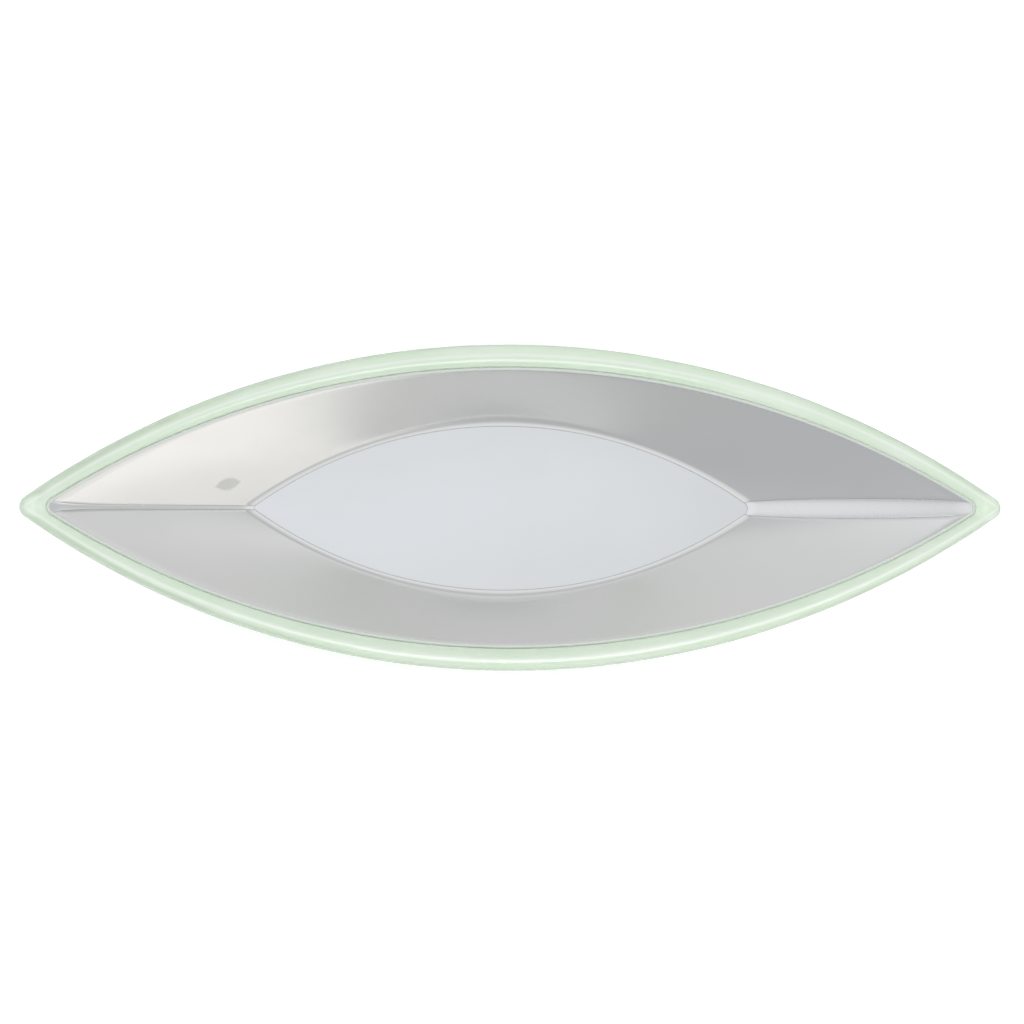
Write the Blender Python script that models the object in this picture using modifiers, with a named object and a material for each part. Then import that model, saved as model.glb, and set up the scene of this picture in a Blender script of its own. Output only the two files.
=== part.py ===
# A canoe-shaped serving dish. A pale green glass hull with a rolled lip holds a
# bonded sheet-metal liner, which has a leaf-shaped floor, two side panels and a
# seam strip down each end. A seal runs round the liner's top edge, an adhesive
# pad holds its floor down, and four soft feet carry the dish.
#
# Metres, +Z up. The origin is on the ground under the middle of the dish, +X
# runs along its length and +Y points to its back.

import bpy
import bmesh
from math import atan2, cos, pi, radians, sin, sqrt
from mathutils import Vector

# Driving dimensions
LENGTH = 0.400              # over the lip's outside
BEAM = 0.1317
OUTER_TIP_RADIUS = 0.0047   # of the lip's rounded ends, in plan
INNER_LENGTH = 0.3791       # between the lip's inner edges
INNER_BEAM = 0.1137
INNER_TIP_RADIUS = 0.0040
FLOOR_LENGTH = 0.2024       # of the leaf-shaped floor
FLOOR_BEAM = 0.0666
FLOOR_TIP_RADII = (0.0009, 0.0026)  # left end, right end
LINER_DEPTH = 0.0215        # from the liner's floor to its top edge, at the middle
SHEER = 0.0095              # how much higher the lip is at its ends
COVE_WIDTH = 0.0050         # of the curve between wall and floor, in plan
VALLEY_SWELL = 0.0019       # extra radius of the right end's valley at half height
VALLEY_SPREAD = 10          # power that keeps the left valley tight until its top

GLASS_THICKNESS = 0.0050
SHEET_THICKNESS = 0.0012
FIT_GAP = 0.0003            # between pieces that meet
FOOT_HEIGHT = 0.0030
FOOT_RADIUS = 0.0050
FOOT_EDGE = 0.0007
FOOT_PLACES = ((0.052, 0.016), (-0.052, 0.016), (-0.052, -0.016), (0.052, -0.016))
PAD_THICKNESS = 0.0010
PAD_MARGIN = 0.0070         # from the floor's outline to the pad's
RECESS_MARGIN = 0.0050      # from the floor's outline to the pad's recess
SEAL_RADIUS = 0.0006
SEAL_INSET = 0.00095        # from the lip's inner edge to the seal's centre
SEAL_RISE = 0.00087         # of the seal's centre over the liner's top edge
LINER_INSET = 0.00125       # from the lip's inner edge to the liner's top edge

LIP_RISE = 0.0030           # of the lip's crest over the liner's top edge
LIP_INNER_DROP = 0.0017     # from the crest to the lip's inner edge
LIP_OUTER_DROP = 0.0042     # from the crest to the lip's widest line
CREST_SHARE = 0.42          # the crest's place from the inner edge to the outer one
ROLL_TURN = radians(150)    # how far the lip's outside rolls under
BEVEL_TURN = radians(60)    # how far its inside rolls down
ROLL_STEPS = 7
BEVEL_STEPS = 3

# Points round an outline and up a wall
TIP_STEPS = 4
FLANK_STEPS = 26
SIDE = FLANK_STEPS + 2 * TIP_STEPS   # the left tip's place in an outline
RING = 2 * SIDE
COVE_STEPS = 3
WALL_STEPS = 3
ROWS = COVE_STEPS + WALL_STEPS

# Worked out from the driving dimensions
HULL_BOTTOM = FOOT_HEIGHT + FIT_GAP
LINER_OFFSET = SHEET_THICKNESS + FIT_GAP
FLOOR_TOP = HULL_BOTTOM + GLASS_THICKNESS + LINER_OFFSET
RECESS_DEPTH = PAD_THICKNESS + FIT_GAP


def blend(start, end, share):
    return start + (end - start) * share


def leaf_corner(length, beam, tip_radius):
    """Half the length to where a leaf's two flanks would meet without its tips."""
    half_beam = beam / 2
    tip_centre = length / 2 - tip_radius
    flank = (tip_centre ** 2 + half_beam ** 2 - tip_radius ** 2) / (2 * (half_beam - tip_radius))
    return sqrt(2 * flank * half_beam - half_beam ** 2)


def leaf(length, beam, tip_radii):
    """A leaf outline: its corner, its half beam and its left and right tip radii."""
    return leaf_corner(length, beam, max(tip_radii)), beam / 2, tip_radii


def inset_leaf(shape, inset, tip_radii=None):
    """The outline that runs inside another at the same distance all round."""
    corner, half_beam, tips = shape
    flank = (corner ** 2 + half_beam ** 2) / (2 * half_beam)
    drop = flank - half_beam
    inner_corner = sqrt((flank - inset) ** 2 - drop ** 2)
    return inner_corner, half_beam - inset, tip_radii or tuple(tip - inset for tip in tips)


def blend_leaves(inner, outer, share):
    tips = tuple(blend(a, b, share) for a, b in zip(inner[2], outer[2]))
    return blend(inner[0], outer[0], share), blend(inner[1], outer[1], share), tips


def leaf_point(index, shape):
    """A point of a leaf outline, from the right tip over the back to the left tip."""
    corner, half_beam, (left_tip, right_tip) = shape
    back = index <= SIDE
    index = index if back else RING - index
    flank = (corner ** 2 + half_beam ** 2) / (2 * half_beam)
    drop = flank - half_beam
    left_centre = sqrt((flank - left_tip) ** 2 - drop ** 2)
    right_centre = sqrt((flank - right_tip) ** 2 - drop ** 2)
    left_lean = atan2(left_centre, drop)
    right_lean = atan2(right_centre, drop)
    if index < TIP_STEPS:
        turn = (pi / 2 - right_lean) * index / TIP_STEPS
        x = right_centre + right_tip * cos(turn)
        y = right_tip * sin(turn)
    elif index > SIDE - TIP_STEPS:
        turn = (pi / 2 - left_lean) * (SIDE - index) / TIP_STEPS
        x = -left_centre - left_tip * cos(turn)
        y = left_tip * sin(turn)
    else:
        angle = blend(right_lean, -left_lean, (index - TIP_STEPS) / FLANK_STEPS)
        x = flank * sin(angle)
        y = flank * cos(angle) - drop
    return x, y if back else -y


OUTER_LEAF = leaf(LENGTH, BEAM, (OUTER_TIP_RADIUS, OUTER_TIP_RADIUS))
INNER_LEAF = leaf(INNER_LENGTH, INNER_BEAM, (INNER_TIP_RADIUS, INNER_TIP_RADIUS))
LINER_LEAF = inset_leaf(INNER_LEAF, LINER_INSET)
FLOOR_LEAF = leaf(FLOOR_LENGTH, FLOOR_BEAM, FLOOR_TIP_RADII)


def sheer_at(x):
    return SHEER * (2 * x / LENGTH) ** 2


def liner_top_at(x):
    return FLOOR_TOP + LINER_DEPTH + sheer_at(x)


def wall_leaf(share):
    """The liner's outline at a share of the way from its floor to its top edge."""
    corner, half_beam, _ = blend_leaves(FLOOR_LEAF, LINER_LEAF, share)
    left = blend(FLOOR_LEAF[2][0], LINER_LEAF[2][0], share ** VALLEY_SPREAD)
    right = blend(FLOOR_LEAF[2][1], LINER_LEAF[2][1], share)
    swell = VALLEY_SWELL * 2 * sqrt(max(share * (1 - share), 0))
    return corner, half_beam, (left, right + swell)


def cove_share(index):
    """The share of a wall's run that its cove takes up."""
    floor_edge = Vector(leaf_point(index, FLOOR_LEAF))
    top_edge = Vector(leaf_point(index, LINER_LEAF))
    return COVE_WIDTH / (top_edge - floor_edge).length


def row_share(index, row):
    """The share of the way up the wall for one row of points."""
    cove = cove_share(index)
    if row <= COVE_STEPS:
        return cove * row / COVE_STEPS
    return blend(cove, 1, (row - COVE_STEPS) / WALL_STEPS)


def liner_point(index, share):
    """A point of the liner's inner face, which rises from a level cove to a flat wall."""
    x, y = leaf_point(index % RING, wall_leaf(share))
    cove = cove_share(index % RING)
    steepness = 1 / (1 - cove / 2)
    if share < cove:
        rise = steepness * share ** 2 / (2 * cove)
    else:
        rise = steepness * (share - cove / 2)
    return Vector((x, y, FLOOR_TOP + rise * (LINER_DEPTH + sheer_at(x))))


def liner_normal(index, share):
    """The liner's normal, which points into the dish."""
    if share == 0:
        return Vector((0, 0, 1))
    here = liner_point(index, share)
    along = (liner_point(index + 1, share) - here).normalized()
    along += (here - liner_point(index - 1, share)).normalized()
    up = here - liner_point(index, share - 0.01)
    return along.cross(up).normalized() * -1


def liner_ring(row, depth):
    """One ring of points at a depth under the liner's inner face."""
    ring = []
    for index in range(RING):
        share = row_share(index, row)
        ring.append(liner_point(index, share) - liner_normal(index, share) * depth)
    return ring


def flat_ring(shape, height):
    return [Vector((*leaf_point(index, shape), height)) for index in range(RING)]


def lip_ring(share, drop):
    """One ring of the lip, by its share from inner to outer edge and drop from the crest."""
    ring = []
    for index in range(RING):
        x, y = leaf_point(index, blend_leaves(INNER_LEAF, OUTER_LEAF, share))
        ring.append(Vector((x, y, liner_top_at(x) + LIP_RISE - drop)))
    return ring


def lip_rings():
    """The lip's section from under its outer roll, over the crest, to its inner edge."""
    rings = []
    for step in range(ROLL_STEPS, 0, -1):
        turn = ROLL_TURN * step / ROLL_STEPS
        rings.append(lip_ring(blend(CREST_SHARE, 1, sin(turn)), LIP_OUTER_DROP * (1 - cos(turn))))
    for step in range(BEVEL_STEPS + 1):
        turn = BEVEL_TURN * step / BEVEL_STEPS
        share = CREST_SHARE * (1 - sin(turn) / sin(BEVEL_TURN))
        rings.append(lip_ring(share, LIP_INNER_DROP * (1 - cos(turn)) / (1 - cos(BEVEL_TURN))))
    return rings


def make_object(name, mesh):
    piece = bpy.data.objects.new(name, mesh)
    dish.objects.link(piece)
    return piece


def loft(name, rings):
    """A closed solid through rings of equal count, with its first and last ring capped."""
    shape = bmesh.new()
    rows = [[shape.verts.new(point) for point in ring] for ring in rings]
    for lower, upper in zip(rows, rows[1:]):
        for index in range(RING):
            after = (index + 1) % RING
            shape.faces.new((lower[index], lower[after], upper[after], upper[index]))
    shape.faces.new(reversed(rows[0]))
    shape.faces.new(rows[-1])
    mesh = bpy.data.meshes.new(name)
    shape.to_mesh(mesh)
    shape.free()
    mesh.shade_smooth()
    return make_object(name, mesh)


def sheet(name, rows, thickness):
    """A sheet through rows of points, thickened away from the inside of the dish."""
    shape = bmesh.new()
    grid = [[shape.verts.new(point) for point in row] for row in rows]
    for lower, upper in zip(grid, grid[1:]):
        for column in range(len(lower) - 1):
            corners = (lower[column], upper[column], upper[column + 1], lower[column + 1])
            shape.faces.new(corners)
    mesh = bpy.data.meshes.new(name)
    shape.to_mesh(mesh)
    shape.free()
    mesh.shade_smooth()
    piece = make_object(name, mesh)
    thicken(piece, thickness)
    return piece


def plate(name, outline, thickness):
    """A flat plate that hangs below its outline."""
    shape = bmesh.new()
    shape.faces.new([shape.verts.new(point) for point in outline])
    mesh = bpy.data.meshes.new(name)
    shape.to_mesh(mesh)
    shape.free()
    piece = make_object(name, mesh)
    thicken(piece, thickness)
    return piece


def thicken(piece, thickness):
    solid = piece.modifiers.new("Solidify", "SOLIDIFY")
    solid.thickness = thickness
    solid.offset = -1
    solid.use_even_offset = True


def finish(piece, material):
    piece.data.materials.append(material)
    return piece


def material(name, colour, roughness, metallic=0.0, transmission=0.0):
    made = bpy.data.materials.new(name)
    made.use_nodes = True
    shader = made.node_tree.nodes["Principled BSDF"]
    shader.inputs["Base Color"].default_value = (*colour, 1)
    shader.inputs["Roughness"].default_value = roughness
    shader.inputs["Metallic"].default_value = metallic
    shader.inputs["Transmission Weight"].default_value = transmission
    return made


def liner_strip(first, last):
    """The liner's rows between two places of the outline, trimmed to leave a gap."""
    rows = []
    for row in range(ROWS + 1):
        points = [liner_point(index, row_share(index % RING, row)) for index in range(first, last + 1)]
        start_way = (points[1] - points[0]).normalized()
        end_way = (points[-2] - points[-1]).normalized()
        points[0] += start_way * FIT_GAP / 2
        points[-1] += end_way * FIT_GAP / 2
        rows.append(points)
    return rows


def make_hull():
    """The glass hull: outer wall, rolled lip, ledge, inner wall and the pad's recess."""
    outer_depth = LINER_OFFSET + GLASS_THICKNESS
    rings = [liner_ring(row, outer_depth) for row in range(ROWS)]
    rings += lip_rings()
    rings += [liner_ring(row, LINER_OFFSET) for row in range(ROWS, -1, -1)]
    recess = inset_leaf(FLOOR_LEAF, RECESS_MARGIN, FLOOR_TIP_RADII)
    recess_top = FLOOR_TOP - LINER_OFFSET
    rings.append(flat_ring(recess, recess_top))
    rings.append(flat_ring(recess, recess_top - RECESS_DEPTH))
    return loft("glass_hull", rings)


def make_seal():
    """The round seal that closes the joint between the liner's edge and the lip."""
    path = inset_leaf(INNER_LEAF, SEAL_INSET)
    curve = bpy.data.curves.new("edge_seal", "CURVE")
    curve.dimensions = "3D"
    curve.bevel_depth = SEAL_RADIUS
    curve.bevel_resolution = 2
    spline = curve.splines.new("POLY")
    spline.points.add(RING - 1)
    for index, point in enumerate(spline.points):
        x, y = leaf_point(index, path)
        point.co = (x, y, liner_top_at(x) + SEAL_RISE, 1)
    spline.use_cyclic_u = True
    return make_object("edge_seal", curve)


def make_foot(number, place):
    bpy.ops.mesh.primitive_cylinder_add(
        vertices=24, radius=FOOT_RADIUS, depth=FOOT_HEIGHT, location=(*place, FOOT_HEIGHT / 2))
    foot = bpy.context.object
    foot.name = f"foot_pad_{number}"
    for collection in foot.users_collection:
        collection.objects.unlink(foot)
    dish.objects.link(foot)
    edge = foot.modifiers.new("Bevel", "BEVEL")
    edge.width = FOOT_EDGE
    edge.segments = 2
    return foot


for old in list(bpy.data.objects):
    bpy.data.objects.remove(old)

dish = bpy.data.collections.new("Canoe dish")
bpy.context.scene.collection.children.link(dish)

glass = material("Green glass", (0.80, 0.93, 0.80), 0.12, transmission=0.8)
wall_metal = material("Satin metal", (0.72, 0.72, 0.71), 0.25, metallic=1.0)
floor_metal = material("Floor metal", (0.76, 0.78, 0.80), 0.30, metallic=1.0)
seam_metal = material("Seam metal", (0.80, 0.80, 0.81), 0.22, metallic=1.0)
sealant = material("Clear seal", (0.86, 0.92, 0.85), 0.35)
adhesive = material("Adhesive pad", (0.75, 0.76, 0.74), 0.70)
rubber = material("Soft foot", (0.82, 0.84, 0.82), 0.50)

finish(make_hull(), glass)

back = liner_strip(TIP_STEPS, SIDE - TIP_STEPS)
front = liner_strip(SIDE + TIP_STEPS, RING - TIP_STEPS)
left_end = liner_strip(SIDE - TIP_STEPS, SIDE + TIP_STEPS)
right_end = liner_strip(RING - TIP_STEPS, RING + TIP_STEPS)
finish(sheet("liner_side_back", back, SHEET_THICKNESS), wall_metal)
finish(sheet("liner_side_front", front, SHEET_THICKNESS), wall_metal)
finish(sheet("end_seam_left", left_end, SHEET_THICKNESS), seam_metal)
finish(sheet("end_seam_right", right_end, SHEET_THICKNESS), seam_metal)

floor_plate = inset_leaf(FLOOR_LEAF, FIT_GAP)
finish(plate("liner_floor", flat_ring(floor_plate, FLOOR_TOP), SHEET_THICKNESS), floor_metal)
pad = inset_leaf(FLOOR_LEAF, PAD_MARGIN, FLOOR_TIP_RADII)
pad_top = FLOOR_TOP - LINER_OFFSET
finish(plate("bond_pad", flat_ring(pad, pad_top), PAD_THICKNESS), adhesive)

finish(make_seal(), sealant)
for number, place in enumerate(FOOT_PLACES, start=1):
    finish(make_foot(number, place), rubber)
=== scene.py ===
from math import atan2, cos, hypot, pi, radians, sin, sqrt

import bmesh
import bpy
from mathutils import Matrix, Vector, noise


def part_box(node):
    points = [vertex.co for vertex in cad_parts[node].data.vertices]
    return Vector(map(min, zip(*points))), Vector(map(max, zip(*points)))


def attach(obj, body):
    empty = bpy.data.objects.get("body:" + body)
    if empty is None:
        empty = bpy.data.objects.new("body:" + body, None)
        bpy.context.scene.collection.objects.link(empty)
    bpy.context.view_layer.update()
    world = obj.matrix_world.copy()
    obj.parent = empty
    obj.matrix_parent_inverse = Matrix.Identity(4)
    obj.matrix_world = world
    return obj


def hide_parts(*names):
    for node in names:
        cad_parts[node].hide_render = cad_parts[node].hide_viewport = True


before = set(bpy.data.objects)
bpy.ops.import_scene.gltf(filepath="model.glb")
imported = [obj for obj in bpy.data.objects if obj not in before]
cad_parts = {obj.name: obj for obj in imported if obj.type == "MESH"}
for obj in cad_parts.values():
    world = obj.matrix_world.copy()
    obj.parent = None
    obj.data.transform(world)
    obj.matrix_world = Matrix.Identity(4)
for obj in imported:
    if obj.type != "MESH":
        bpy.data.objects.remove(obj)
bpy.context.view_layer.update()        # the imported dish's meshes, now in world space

scene = bpy.context.scene
scene.view_settings.view_transform = "Standard"

# the dish's plan and sections, in metres; the big sizes come from the imported parts
hullLow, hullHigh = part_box("glass_hull")
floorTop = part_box("liner_floor")[1].z
sealLow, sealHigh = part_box("edge_seal")

plan = {
    "outerTip": 0.0047,        # radius of the lip's rounded ends
    "innerTip": 0.0040,
    "floorLength": 0.2024,
    "floorBeam": 0.0666,
    "floorTips": (0.0009, 0.0026),
    "sealRadius": 0.0006,
    "sealInset": 0.00095,      # from the lip's inner edge to the seal's middle
    "linerInset": 0.00125,     # from the lip's inner edge to the liner's top edge
    "linerDepth": 0.0215,      # at the middle, from the floor plate to the liner's top edge
    "sheetThickness": 0.0012,
    "glassThickness": 0.0050,
    "sheer": 0.0095,           # how much higher the lip is at its ends
    "coveWidth": 0.0050,
    "valleySwell": 0.0019,     # opens the right end's valley half way up
    "valleySpread": 10,        # keeps the left end's valley tight until its top
    "fitGap": 0.0003,
    "tipSteps": 12,
    "flankSteps": 120,
    "coveSteps": 8,
    "wallSteps": 14,
}
sideSteps = plan["flankSteps"] + 2 * plan["tipSteps"]
ringSteps = 2 * sideSteps
wallRows = plan["coveSteps"] + plan["wallSteps"]
linerOffset = plan["sheetThickness"] + plan["fitGap"]


def blend(start, end, share):
    return start + (end - start) * share


def leaf(length, beam, tips):
    # a leaf outline: half its length to the flanks' corner, half its beam, left and right tip radius
    halfBeam = beam / 2
    tip = max(tips)
    tipCentre = length / 2 - tip
    flank = (tipCentre ** 2 + halfBeam ** 2 - tip ** 2) / (2 * (halfBeam - tip))
    return sqrt(2 * flank * halfBeam - halfBeam ** 2), halfBeam, tips


def insetLeaf(shape, inset, tips=None):
    corner, halfBeam, oldTips = shape
    flank = (corner ** 2 + halfBeam ** 2) / (2 * halfBeam)
    drop = flank - halfBeam
    newTips = tips or tuple(tip - inset for tip in oldTips)
    return sqrt((flank - inset) ** 2 - drop ** 2), halfBeam - inset, newTips


def blendLeaves(inner, outer, share):
    tips = tuple(blend(a, b, share) for a, b in zip(inner[2], outer[2]))
    return blend(inner[0], outer[0], share), blend(inner[1], outer[1], share), tips


def leafPoint(index, shape):
    # from the right tip over the back to the left tip, then along the front
    corner, halfBeam, (leftTip, rightTip) = shape
    index = index % ringSteps
    back = index <= sideSteps
    index = index if back else ringSteps - index
    flank = (corner ** 2 + halfBeam ** 2) / (2 * halfBeam)
    drop = flank - halfBeam
    leftCentre = sqrt((flank - leftTip) ** 2 - drop ** 2)
    rightCentre = sqrt((flank - rightTip) ** 2 - drop ** 2)
    leftLean = atan2(leftCentre, drop)
    rightLean = atan2(rightCentre, drop)
    if index < plan["tipSteps"]:
        turn = (pi / 2 - rightLean) * index / plan["tipSteps"]
        x = rightCentre + rightTip * cos(turn)
        y = rightTip * sin(turn)
    elif index > sideSteps - plan["tipSteps"]:
        turn = (pi / 2 - leftLean) * (sideSteps - index) / plan["tipSteps"]
        x = -leftCentre - leftTip * cos(turn)
        y = leftTip * sin(turn)
    else:
        angle = blend(rightLean, -leftLean, (index - plan["tipSteps"]) / plan["flankSteps"])
        x = flank * sin(angle)
        y = flank * cos(angle) - drop
    return x, y if back else -y


sealReach = 2 * (plan["sealInset"] - plan["sealRadius"])
outerLeaf = leaf(hullHigh.x - hullLow.x, hullHigh.y - hullLow.y, (plan["outerTip"],) * 2)
innerLeaf = leaf(sealHigh.x - sealLow.x + sealReach, sealHigh.y - sealLow.y + sealReach,
                 (plan["innerTip"],) * 2)
linerLeaf = insetLeaf(innerLeaf, plan["linerInset"])
floorLeaf = leaf(plan["floorLength"], plan["floorBeam"], plan["floorTips"])
print("outlines are set")


# the liner's inner face, which every other surface is worked out from
coveShares = []
for place in range(ringSteps):
    floorEdge = Vector(leafPoint(place, floorLeaf))
    topEdge = Vector(leafPoint(place, linerLeaf))
    coveShares.append(plan["coveWidth"] / (topEdge - floorEdge).length)


def sheerAt(x):
    return plan["sheer"] * (x / hullHigh.x) ** 2


def linerTopAt(x):
    return floorTop + plan["linerDepth"] + sheerAt(x)


def wallLeaf(share):
    # the liner's outline at a share of the way from its floor to its top edge
    corner, halfBeam, tips = blendLeaves(floorLeaf, linerLeaf, share)
    left = blend(floorLeaf[2][0], linerLeaf[2][0], share ** plan["valleySpread"])
    swell = plan["valleySwell"] * 2 * sqrt(max(share * (1 - share), 0))
    return corner, halfBeam, (left, tips[1] + swell)


def rowShare(index, row):
    cove = coveShares[index % ringSteps]
    if row <= plan["coveSteps"]:
        return cove * row / plan["coveSteps"]
    return blend(cove, 1, (row - plan["coveSteps"]) / plan["wallSteps"])


def linerPoint(index, share):
    x, y = leafPoint(index, wallLeaf(share))
    cove = coveShares[index % ringSteps]
    steepness = 1 / (1 - cove / 2)
    rise = steepness * (share - cove / 2)
    if share < cove:
        rise = steepness * share ** 2 / (2 * cove)
    return Vector((x, y, floorTop + rise * (plan["linerDepth"] + sheerAt(x))))


linerGrid = []
for row in range(wallRows + 1):
    linerGrid.append([linerPoint(index, rowShare(index, row)) for index in range(ringSteps)])


def linerNormal(index, row):
    # points into the dish; the floor's edge is level
    if row == 0:
        return Vector((0, 0, 1))
    here = linerGrid[row][index]
    along = (linerGrid[row][(index + 1) % ringSteps] - here).normalized()
    along += (here - linerGrid[row][index - 1]).normalized()
    up = (here - linerGrid[row - 1][index]).normalized()
    if row < wallRows:
        up += (linerGrid[row + 1][index] - here).normalized()
    return up.cross(along).normalized()


def linerRing(row, depth):
    return [linerGrid[row][index] - linerNormal(index, row) * depth for index in range(ringSteps)]


def flankReach(shape, point):
    # how far a point is outside the flank of a leaf; below 0 inside it
    corner, halfBeam, tips = shape
    flank = (corner ** 2 + halfBeam ** 2) / (2 * halfBeam)
    return hypot(point.x, abs(point.y) + flank - halfBeam) - flank


def flatRing(shape, height):
    return [Vector((*leafPoint(index, shape), height)) for index in range(ringSteps)]


# mesh making
rounded = {"segments": 3, "fromAngle": radians(50)}


def addPiece(name, mesh, finish, slot, *nodes):
    piece = bpy.data.objects.new(name, mesh)
    scene.collection.objects.link(piece)
    mesh.materials.append(finish)
    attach(piece, "root")
    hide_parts(*nodes)
    return piece


def meshFrom(name, build):
    shape = bmesh.new()
    build(shape)
    mesh = bpy.data.meshes.new(name)
    shape.to_mesh(mesh)
    shape.free()
    mesh.shade_smooth()
    return mesh


def loftMesh(name, rings):
    # a closed solid through rings of equal count
    def build(shape):
        rows = [[shape.verts.new(point) for point in ring] for ring in rings]
        for lower, upper in zip(rows, rows[1:]):
            for index in range(len(lower)):
                after = (index + 1) % len(lower)
                shape.faces.new((lower[index], lower[after], upper[after], upper[index]))
        shape.faces.new(reversed(rows[0]))
        shape.faces.new(rows[-1])
    return meshFrom(name, build)


def sheetMesh(name, rows):
    # an open sheet through rows of points, facing into the dish
    def build(shape):
        grid = [[shape.verts.new(point) for point in row] for row in rows]
        for lower, upper in zip(grid, grid[1:]):
            for column in range(len(lower) - 1):
                shape.faces.new((lower[column], upper[column], upper[column + 1], lower[column + 1]))
    return meshFrom(name, build)


def thicken(piece, thickness, edge):
    solid = piece.modifiers.new("Thickness", "SOLIDIFY")
    solid.thickness = thickness
    solid.offset = -1
    solid.use_even_offset = True
    rounding = piece.modifiers.new("Rounded edges", "BEVEL")
    rounding.width = edge
    rounding.segments = rounded["segments"]
    rounding.limit_method = "ANGLE"
    rounding.angle_limit = rounded["fromAngle"]


# shader maths
class Wire:
    # a shader socket that plain arithmetic works on
    def __init__(self, finish, socket):
        self.finish = finish
        self.socket = socket

    def join(self, operation, first, second):
        return self.finish.node("ShaderNodeMath", {"operation": operation}, {0: first, 1: second})

    def __add__(self, other):
        return self.join("ADD", self, other)

    def __sub__(self, other):
        return self.join("SUBTRACT", self, other)

    def __rsub__(self, other):
        return self.join("SUBTRACT", other, self)

    def __mul__(self, other):
        return self.join("MULTIPLY", self, other)

    def __abs__(self):
        return self.join("ABSOLUTE", self, 0)

    __radd__ = __add__
    __rmul__ = __mul__


class Finish:
    # the look of one material or of the studio's walls, with all its nodes made by the node method
    def __init__(self, name, owner=None):
        self.owner = owner or bpy.data.materials.new(name)
        self.owner.use_nodes = True
        self.tree = self.owner.node_tree
        self.tree.nodes.clear()

    def node(self, kind, settings=None, sockets=None, output=0):
        made = self.tree.nodes.new(kind)
        for name, value in (settings or {}).items():
            if name == "stops":
                stops = made.color_ramp.elements
                for count, (position, colour) in enumerate(value):
                    stop = stops[count] if count < 2 else stops.new(position)
                    stop.position = position
                    stop.color = (*colour, 1)
            else:
                setattr(made, name, value)
        for name, value in (sockets or {}).items():
            if isinstance(value, Wire):
                self.tree.links.new(value.socket, made.inputs[name])
            else:
                made.inputs[name].default_value = value
        return Wire(self, made.outputs[output]) if made.outputs else None

    def place(self, stretch=(1, 1, 1)):
        # metres on the dish, stretched along each axis
        spot = self.node("ShaderNodeTexCoord", output="Object")
        if stretch == (1, 1, 1):
            return spot
        return self.node("ShaderNodeVectorMath", {"operation": "MULTIPLY"}, {0: spot, 1: stretch})

    def grain(self, scale, detail=3, roughness=0.5, stretch=(1, 1, 1)):
        sockets = {"Vector": self.place(stretch), "Scale": scale, "Detail": detail, "Roughness": roughness}
        return self.node("ShaderNodeTexNoise", {}, sockets)

    def patch(self, scale, low, high, detail=2, stretch=(1, 1, 1)):
        # a soft-edged mask: 0 where the grain is under low, 1 where it is over high
        sockets = {"Value": self.grain(scale, detail, stretch=stretch), "From Min": low, "From Max": high}
        return self.node("ShaderNodeMapRange", {"interpolation_type": "SMOOTHSTEP"}, sockets)

    def tint(self, share, first, second):
        sockets = {0: share, 6: (*first, 1) if isinstance(first, tuple) else first,
                   7: (*second, 1) if isinstance(second, tuple) else second}
        return self.node("ShaderNodeMix", {"data_type": "RGBA"}, sockets, output=2)

    def level(self, stops, share):
        # a number that changes evenly from stop to stop as the share goes from 0 to 1
        greys = [(position, (number,) * 3) for position, number in stops]
        return self.node("ShaderNodeValToRGB", {"stops": greys}, {"Fac": share})

    def bump(self, height, strength, distance):
        sockets = {"Height": height, "Strength": strength, "Distance": distance}
        return self.node("ShaderNodeBump", {}, sockets)

    def close(self, sockets):
        # the shader itself, and the material that it finishes
        surface = self.node("ShaderNodeBsdfPrincipled", {}, sockets)
        self.node("ShaderNodeOutputMaterial", {}, {"Surface": surface})
        return self.owner


# the glass hull
glass = {
    "colour": (0.90, 0.99, 0.87),
    "deepColour": (0.84, 0.965, 0.80),
    "paintedHighlightColour": (0.97, 1.0, 0.96),
    "paintedShadeColour": (0.74, 0.84, 0.73),
    # how much painted highlight the lip's crest gets, and how much painted shade the liner's edge casts
    # on the lip's inner band and outer edge, from its inner edge (0) to its outer one (1)
    "paintedCrestHighlight": ((0.0, 0.0), (0.40, 0.10), (0.46, 0.9), (0.53, 0.9), (0.59, 0.10), (0.80, 0.0)),
    "shade": ((0.0, 0.0), (0.10, 0.25), (0.32, 0.45), (0.44, 0.0), (0.90, 0.0), (1.0, 0.10)),
    "roughness": 0.09,
    "smudgeRoughness": 0.05,
    "transmission": 0.5,
    "ior": 1.5,
    "cloudScale": 60,
    "smudgeScale": 140,
    "rippleScale": 90,
    "fineRippleScale": 420,
    "rippleStrength": 0.08,
    "rippleHeight": 0.0006,
    "lipRise": 0.0030,         # of the crest over the liner's top edge
    "lipInnerDrop": 0.0017,
    "lipOuterDrop": 0.0042,
    "crestShare": 0.42,        # the crest's place from the inner edge to the outer one
    "rollTurn": radians(150),
    "bevelTurn": radians(60),
    "rollSteps": 28,
    "bevelSteps": 12,
    "recessMargin": 0.0050,
    "recessDepth": 0.0013,
    "waviness": 0.00016,       # fire polishing leaves the outside a little uneven
    "waveLength": 0.014,
}


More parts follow.
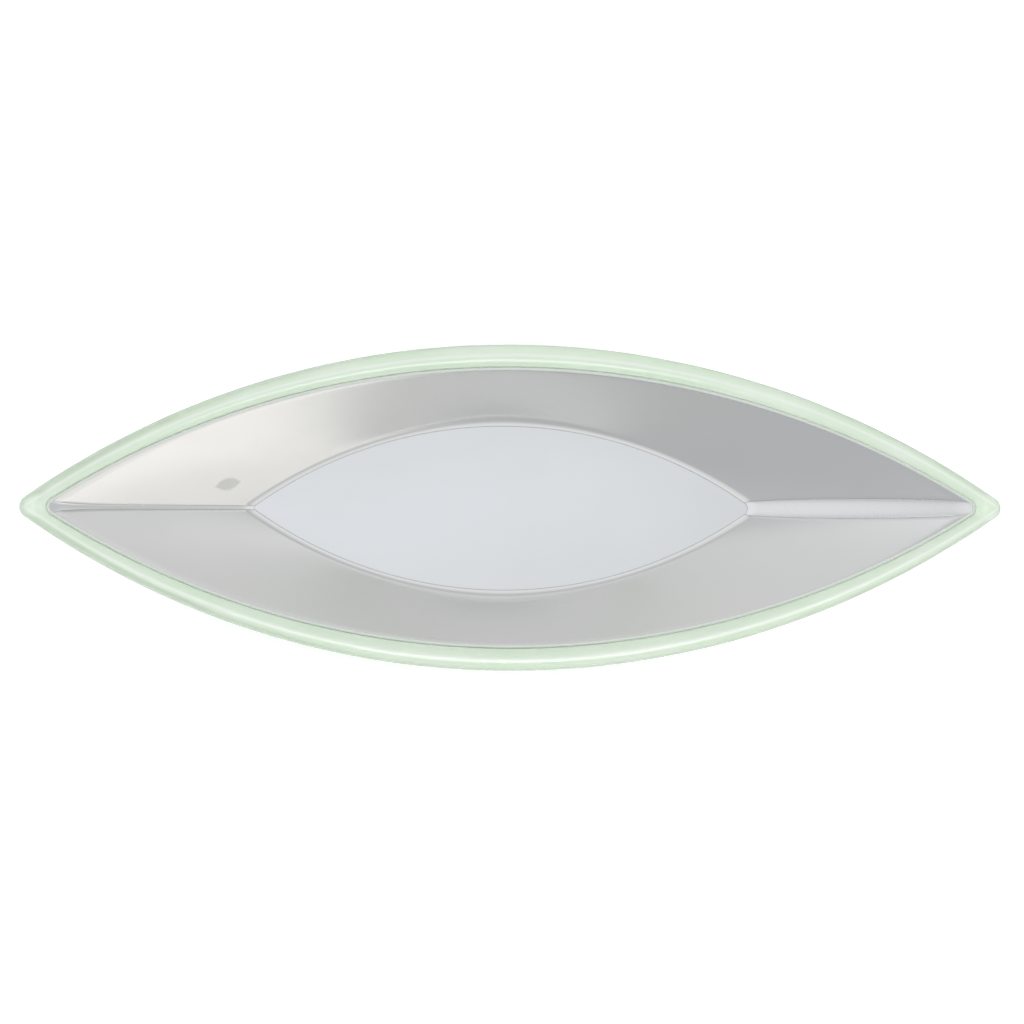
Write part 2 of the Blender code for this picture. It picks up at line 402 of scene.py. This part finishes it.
def greenGlass():
    finish = Finish("Green glass")
    cloud = finish.patch(glass["cloudScale"], 0.35, 0.65, stretch=(0.4, 1, 1))
    colour = finish.tint(cloud, glass["colour"], glass["deepColour"])
    across = finish.node("ShaderNodeAttribute", {"attribute_name": "across"}, output=2)
    # the crest gets a painted highlight, a lighter colour along the middle of the lip
    colour = finish.tint(finish.level(glass["paintedCrestHighlight"], across), colour, glass["paintedHighlightColour"])
    # painted shade from the liner's edge on the lip's inner band, and a little painted shade at its outer
    # edge
    colour = finish.tint(finish.level(glass["shade"], across), colour, glass["paintedShadeColour"])
    smudge = finish.patch(glass["smudgeScale"], 0.45, 0.75)
    ripple = finish.grain(glass["rippleScale"], 2) + finish.grain(glass["fineRippleScale"], 1) * 0.15
    return finish.close({
        "Base Color": colour,
        "Roughness": smudge * glass["smudgeRoughness"] + glass["roughness"],
        "IOR": glass["ior"],
        "Transmission Weight": glass["transmission"],
        "Normal": finish.bump(ripple, glass["rippleStrength"], glass["rippleHeight"]),
    })


def lipRing(share, drop):
    ring = []
    for index in range(ringSteps):
        x, y = leafPoint(index, blendLeaves(innerLeaf, outerLeaf, share))
        ring.append(Vector((x, y, linerTopAt(x) + glass["lipRise"] - drop)))
    return ring


def lipRings():
    # the lip's section from under its outer roll, over the crest, to its inner edge
    rings = []
    for step in range(glass["rollSteps"], 0, -1):
        turn = glass["rollTurn"] * step / glass["rollSteps"]
        share = blend(glass["crestShare"], 1, sin(turn))
        rings.append(lipRing(share, glass["lipOuterDrop"] * (1 - cos(turn))))
    full = glass["bevelTurn"]
    for step in range(glass["bevelSteps"] + 1):
        turn = full * step / glass["bevelSteps"]
        share = glass["crestShare"] * (1 - sin(turn) / sin(full))
        rings.append(lipRing(share, glass["lipInnerDrop"] * (1 - cos(turn)) / (1 - cos(full))))
    return rings


def acrossLip(point):
    # 0 at the lip's inner edge, 1 at its outer edge
    inner = flankReach(innerLeaf, point)
    return inner / (inner - flankReach(outerLeaf, point))


def makeHull():
    outerDepth = linerOffset + plan["glassThickness"]
    outside = [linerRing(row, outerDepth) for row in range(wallRows)]
    lip = lipRings()
    inside = [linerRing(row, linerOffset) for row in range(wallRows, -1, -1)]
    recess = insetLeaf(floorLeaf, glass["recessMargin"], plan["floorTips"])
    recessTop = floorTop - linerOffset
    inside.append(flatRing(recess, recessTop))
    inside.append(flatRing(recess, recessTop - glass["recessDepth"]))
    mesh = loftMesh("glassHull", outside + lip + inside)
    wavy = (len(outside) + len(lip)) * ringSteps   # the liner's bed stays true
    across = mesh.attributes.new("across", "FLOAT", "POINT")
    for index, vertex in enumerate(mesh.vertices):
        across.data[index].value = acrossLip(vertex.co)
    outward = [vertex.normal.copy() for vertex in mesh.vertices]
    for vertex, normal in zip(mesh.vertices[ringSteps:wavy], outward[ringSteps:wavy]):
        swell = 0.5 + 0.5 * noise.noise(vertex.co / glass["waveLength"])
        vertex.co -= normal * glass["waviness"] * swell
    return addPiece("glassHull", mesh, greenGlass(), "green_glass", "glass_hull")


glassHull = makeHull()
print("glass hull is made")


# the metal liner
metal = {
    "wall": {"light": (0.80, 0.80, 0.79), "dark": (0.75, 0.75, 0.745), "roughness": 0.20, "paintedReflection": True},
    # the floor's bluer tint than the walls' is painted light, the blue cast that the light gives the
    # upward-facing floor
    "floor": {"light": (0.80, 0.825, 0.845), "dark": (0.77, 0.795, 0.815), "roughness": 0.30},
    "seam": {"light": (0.83, 0.835, 0.84), "dark": (0.79, 0.795, 0.80), "roughness": 0.25},
    # the mark entries place and colour a painted reflection of a dark spot in the studio, on the back wall
    "markPlace": (-0.1138, 0.0094, 0.0164),
    "markTurn": radians(-12),
    "markLength": 0.0056,      # half of it
    "markWidth": 0.0026,
    "reflectionColour": (0.50, 0.51, 0.50),
    "reflectionStrength": 0.65,
    "markGrainScale": 500,
    "markRaggedness": 0.4,
    "markEdge": (1.40, 0.80),  # where the painted reflection begins and where it is full
    "joint": 0.00003,          # hairline left between two sheets
    "edge": 0.00012,
    "cloudScale": 18,
    "brushScale": 1400,
    "scratchScale": 2200,
    "smearScale": 38,
    "bumpStrength": 0.04,
    "bumpHeight": 0.00002,
}


def paintedDarkReflection(finish):
    # 1 in the middle of a small almond-shaped painted reflection of a dark spot in the studio, on the back
    # wall, 0 outside it
    offset = finish.node("ShaderNodeVectorMath", {"operation": "SUBTRACT"},
                         {0: finish.place(), 1: metal["markPlace"]})
    turned = finish.node("ShaderNodeVectorRotate", {"rotation_type": "Z_AXIS"},
                         {"Vector": offset, "Angle": metal["markTurn"]})
    along = finish.node("ShaderNodeSeparateXYZ", {}, {0: turned}, "X") * (1 / metal["markLength"])
    across = finish.node("ShaderNodeSeparateXYZ", {}, {0: turned}, "Y") * (1 / metal["markWidth"])
    grain = finish.grain(metal["markGrainScale"], 2)
    ragged = along * along + abs(across) + grain * metal["markRaggedness"]
    begins, full = metal["markEdge"]
    return finish.node("ShaderNodeMapRange", {"interpolation_type": "SMOOTHSTEP"},
                       {"Value": ragged, "From Min": begins, "From Max": full})


def satinMetal(name, look):
    finish = Finish(name)
    cloud = finish.grain(metal["cloudScale"], 3, 0.55)
    brushed = finish.grain(metal["brushScale"], 2, stretch=(0.03, 1, 1))
    scratch = finish.patch(metal["scratchScale"], 0.70, 0.78, detail=1, stretch=(0.01, 0.5, 0.5))
    smear = finish.patch(metal["smearScale"], 0.50, 0.72, stretch=(1, 1.6, 1))
    colour = finish.tint(cloud * 0.8 + brushed * 0.2, look["light"], look["dark"])
    # the back wall gets a painted reflection of a dark spot in the studio
    if look.get("paintedReflection"):
        colour = finish.tint(paintedDarkReflection(finish) * metal["reflectionStrength"], colour, metal["reflectionColour"])
    return finish.close({
        "Base Color": colour,
        "Metallic": 1.0,
        "Roughness": brushed * 0.03 + smear * 0.02 + scratch * 0.03 + look["roughness"],
        "Normal": finish.bump(brushed * 0.5 - scratch * 0.3, metal["bumpStrength"], metal["bumpHeight"]),
    })


def linerStrip(first, last, gap):
    # the liner's rows between two places of the outline, trimmed to leave a gap
    rows = []
    for row in range(wallRows + 1):
        points = [linerGrid[row][index % ringSteps].copy() for index in range(first, last + 1)]
        points[0] += (points[1] - points[0]).normalized() * gap / 2
        points[-1] += (points[-2] - points[-1]).normalized() * gap / 2
        rows.append(points)
    return rows


def makeSheet(name, first, last, finish, slot, node):
    mesh = sheetMesh(name, linerStrip(first, last, metal["joint"]))
    piece = addPiece(name, mesh, finish, slot, node)
    thicken(piece, plan["sheetThickness"], metal["edge"])
    return piece


def makePlate(name, shape, height, thickness, edge, finish, slot, node):
    def build(sheet):
        sheet.faces.new([sheet.verts.new(point) for point in flatRing(shape, height)])
    piece = addPiece(name, meshFrom(name, build), finish, slot, node)
    thicken(piece, thickness, edge)
    return piece


wallMetal = satinMetal("Satin metal", metal["wall"])
seamMetal = satinMetal("Seam metal", metal["seam"])
tips = plan["tipSteps"]
makeSheet("linerSideBack", tips, sideSteps - tips, wallMetal, "wall_metal", "liner_side_back")
makeSheet("linerSideFront", sideSteps + tips, ringSteps - tips, wallMetal, "wall_metal", "liner_side_front")
makeSheet("endSeamLeft", sideSteps - tips, sideSteps + tips, seamMetal, "seam_metal", "end_seam_left")
makeSheet("endSeamRight", ringSteps - tips, ringSteps + tips, seamMetal, "seam_metal", "end_seam_right")
makePlate("linerFloor", insetLeaf(floorLeaf, metal["joint"]), floorTop, plan["sheetThickness"], metal["edge"],
          satinMetal("Floor metal", metal["floor"]), "floor_metal", "liner_floor")
print("liner is made")


# the seal, the adhesive pad and the feet
seal = {
    "rise": 0.00087,           # of its middle over the liner's top edge
    # its pale colour is partly its own milky tone and partly painted light, turning the shade in the gap by
    # the liner's edge into a light line
    "colour": (0.93, 0.98, 0.92),
    "cloudColour": (0.96, 0.99, 0.95),
    "roughness": 0.28,
    "transmission": 0.15,
}
pad = {
    "margin": 0.0070,
    "thickness": 0.0010,
    "edge": 0.0003,
    "colour": (0.74, 0.75, 0.73),
    "cloudColour": (0.70, 0.71, 0.69),
    "roughness": 0.6,
    "transmission": 0.0,
}
foot = {
    "radius": 0.0050,
    "height": 0.0030,
    "edge": 0.0008,
    "edgeSteps": 8,
    "hollow": 0.0003,
    "hollowOuter": 0.8,        # where the sole's hollow starts, as a share of the flat
    "hollowInner": 0.6,
    "turns": 48,
    "colour": (0.84, 0.87, 0.84),
    "cloudColour": (0.78, 0.82, 0.78),
    "roughness": 0.4,
    "transmission": 0.3,
}
rubbery = {"cloudScale": 420, "pimpleScale": 2600, "ior": 1.42, "bumpStrength": 0.2, "bumpHeight": 0.00005}


def softFinish(name, look):
    finish = Finish(name)
    cloud = finish.grain(rubbery["cloudScale"], 3)
    pimple = finish.grain(rubbery["pimpleScale"], 2)
    return finish.close({
        "Base Color": finish.tint(cloud, look["colour"], look["cloudColour"]),
        "Roughness": pimple * 0.12 + look["roughness"],
        "IOR": rubbery["ior"],
        "Transmission Weight": look["transmission"],
        "Normal": finish.bump(pimple, rubbery["bumpStrength"], rubbery["bumpHeight"]),
    })


def makeSeal():
    path = insetLeaf(innerLeaf, plan["sealInset"])
    curve = bpy.data.curves.new("edgeSeal", "CURVE")
    curve.dimensions = "3D"
    curve.bevel_depth = plan["sealRadius"]
    curve.bevel_resolution = 4
    spline = curve.splines.new("POLY")
    spline.points.add(ringSteps - 1)
    for index, point in enumerate(spline.points):
        x, y = leafPoint(index, path)
        point.co = (x, y, linerTopAt(x) + seal["rise"], 1)
    spline.use_cyclic_u = True
    spline.use_smooth = True
    return addPiece("edgeSeal", curve, softFinish("Clear seal", seal), "clear_seal", "edge_seal")


def makeFoot(number, place, finish):
    # a turned pad with a rounded edge and a slightly hollow sole
    def build(shape):
        soft = foot["edge"]
        reach = foot["radius"] - soft
        turns = [pi / 2 * step / foot["edgeSteps"] for step in range(1, foot["edgeSteps"] + 1)]
        profile = [(0, foot["height"]), (reach, foot["height"])]
        profile += [(reach + soft * sin(turn), foot["height"] - soft + soft * cos(turn)) for turn in turns]
        profile += [(reach + soft * cos(turn), soft - soft * sin(turn)) for turn in turns]
        profile += [(reach * foot["hollowOuter"], 0), (reach * foot["hollowInner"], foot["hollow"]),
                    (0, foot["hollow"])]
        points = [shape.verts.new((place[0] + out, place[1], up)) for out, up in profile]
        edges = [shape.edges.new(ends) for ends in zip(points, points[1:])]
        bmesh.ops.spin(shape, geom=points + edges, cent=(*place, 0), axis=(0, 0, -1),
                       angle=2 * pi, steps=foot["turns"])
        bmesh.ops.remove_doubles(shape, verts=shape.verts, dist=0.00001)
        bmesh.ops.recalc_face_normals(shape, faces=shape.faces)
    name = f"footPad{number}"
    return addPiece(name, meshFrom(name, build), finish, "soft_foot", f"foot_pad_{number}")


makeSeal()
padLeaf = insetLeaf(floorLeaf, pad["margin"], plan["floorTips"])
makePlate("bondPad", padLeaf, floorTop - linerOffset, pad["thickness"], pad["edge"],
          softFinish("Adhesive pad", pad), "adhesive", "bond_pad")
soft = softFinish("Soft foot", foot)
for number in range(1, 5):
    low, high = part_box(f"foot_pad_{number}")
    middle = (low + high) / 2
    makeFoot(number, (middle.x, middle.y), soft)
print("seal, pad and feet are made")


# the studio
studio = {
    "tilt": radians(10.0),     # of the camera from straight above, towards the left end
    "lean": radians(0.6),      # and towards the front
    "aim": Vector((0.0006, -0.0017, 0.025)),
    "distance": 2.40,
    "lens": 209,
    # the light tent's brightness by the sine of the height over the horizon
    "tent": ((0.0, (0.55, 0.56, 0.585)), (0.139, (0.55, 0.56, 0.565)), (0.309, (0.545, 0.56, 0.575)),
             (0.5, (0.53, 0.54, 0.565)), (0.707, (0.57, 0.585, 0.59)), (0.866, (0.855, 0.865, 0.87)),
             (0.966, (0.93, 0.93, 0.94)), (1.0, (0.945, 0.95, 0.97))),
    "boxDistance": 2.0,
    "floorReach": 30,
    "floorColour": (0.93, 0.93, 0.93),
    "floorGlow": 0.37,
}
# name: turn from +X towards +Y, height over the horizon, width, depth, radiance, colour
softboxes = {
    "frontPanel": (-46, 9, 1.95, 0.70, 0.685, (1, 0.955, 0.90)),
    "frontHighPanel": (-45, 29, 1.40, 0.76, 0.466, (1, 0.95, 0.84)),
    "leftPanel": (-150, 9, 2.31, 0.70, 0.405, (0.98, 1, 0.98)),
    "leftHighPanel": (-157, 29, 3.20, 0.76, 0.325, (1, 1, 1)),
    "rightPanel": (25, 19, 2.31, 1.40, 0.225, (1, 0.98, 0.93)),
    "backPanel": (87, 19, 2.31, 1.40, 0.225, (1, 0.98, 0.93)),
    "backHighPanel": (135, 29, 1.40, 0.76, 1.15, (0.95, 1, 1)),
}
# these two light only the glass, for the gleams on its lip
gleams = {
    "topGleam": (180, 88, 0.36, 0.36, 5.4, (0.96, 1, 0.95)),
    "sideGleam": (-65, 62, 0.70, 0.70, 4.4, (0.97, 1, 0.95)),
}


def addSoftbox(name, turn, height, width, depth, radiance, colour):
    lamp = bpy.data.lights.new(name, "AREA")
    lamp.shape = "RECTANGLE"
    lamp.size = width
    lamp.size_y = depth
    lamp.energy = radiance * pi * width * depth
    lamp.color = colour
    turn = radians(turn)
    height = radians(height)
    out = Vector((cos(turn) * cos(height), sin(turn) * cos(height), sin(height)))
    box = bpy.data.objects.new(name, lamp)
    box.location = out * studio["boxDistance"]
    box.rotation_euler = out.to_track_quat("Z", "Y").to_euler()
    box.visible_camera = False
    scene.collection.objects.link(box)
    return box


def addGleams():
    gleaming = bpy.data.collections.new("gleaming")
    gleaming.objects.link(glassHull)
    for name, facts in gleams.items():
        addSoftbox(name, *facts).light_linking.receiver_collection = gleaming


def addFloor():
    def build(shape):
        bmesh.ops.create_grid(shape, x_segments=2, y_segments=2, size=studio["floorReach"])
    floor = bpy.data.objects.new("floor", meshFrom("floor", build))
    scene.collection.objects.link(floor)
    finish = Finish("Pale floor")
    speckle = finish.grain(30, 4)
    floor.data.materials.append(finish.close({
        "Base Color": (*studio["floorColour"], 1),
        "Roughness": speckle * 0.05 + 0.75,
        "Emission Color": (1, 1, 1, 1),
        "Emission Strength": studio["floorGlow"],
    }))


def addTent():
    scene.world = bpy.data.worlds.new("tent")
    tent = Finish("tent", scene.world)
    up = tent.node("ShaderNodeSeparateXYZ", {}, {0: tent.node("ShaderNodeTexCoord", output="Generated")}, "Z")
    shine = tent.node("ShaderNodeValToRGB", {"stops": studio["tent"]}, {"Fac": up})
    wall = tent.node("ShaderNodeBackground", {}, {"Color": shine})
    tent.node("ShaderNodeOutputWorld", {}, {"Surface": wall})


def addCamera():
    tilt = studio["tilt"]
    lean = studio["lean"]
    ahead = Vector((sin(tilt) * cos(lean), sin(lean), -cos(tilt) * cos(lean)))
    across = ahead.cross(Vector((0, 1, 0))).normalized()
    upward = across.cross(ahead)
    camera = bpy.data.objects.new("camera", bpy.data.cameras.new("camera"))
    camera.data.lens = studio["lens"]
    camera.data.clip_end = 100
    turned = Matrix((across, upward, -ahead)).transposed().to_4x4()
    camera.matrix_world = Matrix.Translation(studio["aim"] - ahead * studio["distance"]) @ turned
    scene.collection.objects.link(camera)
    scene.camera = camera


addFloor()
addTent()
for name, facts in softboxes.items():
    addSoftbox(name, *facts)
addGleams()
addCamera()
print("studio is set")
